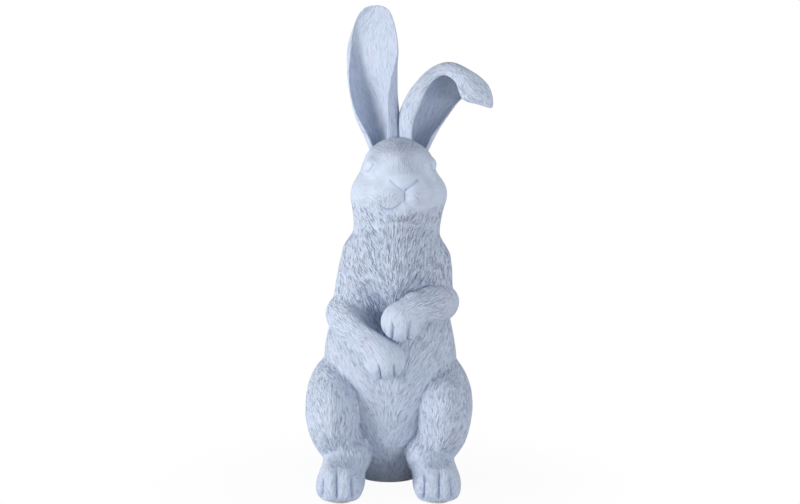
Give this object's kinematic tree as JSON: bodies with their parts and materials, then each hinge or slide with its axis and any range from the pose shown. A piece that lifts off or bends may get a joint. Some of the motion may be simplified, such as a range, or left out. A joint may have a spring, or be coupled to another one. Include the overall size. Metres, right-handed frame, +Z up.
{
  "type": "rabbit figurine",
  "caption": "Cast resin figurine of a rabbit sitting upright with one ear folded over and its forepaws crossed on its belly, standing on felt pads.",
  "frame": {"origin": "on the ground at the middle of the figure's width, on the underside of the seat pad", "axes": "+Z up, the figure faces -Y and +X is its left side, with its face turned a few degrees towards +X"},
  "size_m": [0.1493, 0.161, 0.3791],
  "materials": {
    "resin": "matt painted, carved fur",
    "plug": "matt",
    "wood_dowel": "plain",
    "steel_rod": "drawn",
    "felt": "felt"
  },
  "bodies": {
    "root": {"body": "resin", "head": "resin", "upright_ear": "resin", "folded_ear": "resin", "right_foreleg": "resin", "left_foreleg": "resin", "right_haunch": "resin", "left_haunch": "resin", "right_hind_foot": "resin", "left_hind_foot": "resin", "tail": "resin", "base_plug": "plug", "neck_dowel": "wood_dowel", "upright_ear_rod": "steel_rod", "folded_ear_rod": "steel_rod", "right_foreleg_pin": "steel_rod", "left_foreleg_pin": "steel_rod", "right_haunch_pin": "wood_dowel", "left_haunch_pin": "wood_dowel", "right_foot_pin": "wood_dowel", "left_foot_pin": "wood_dowel", "tail_pin": "wood_dowel", "right_foot_pad": "felt", "left_foot_pad": "felt", "seat_pad": "felt"}
  },
  "joints": []
}
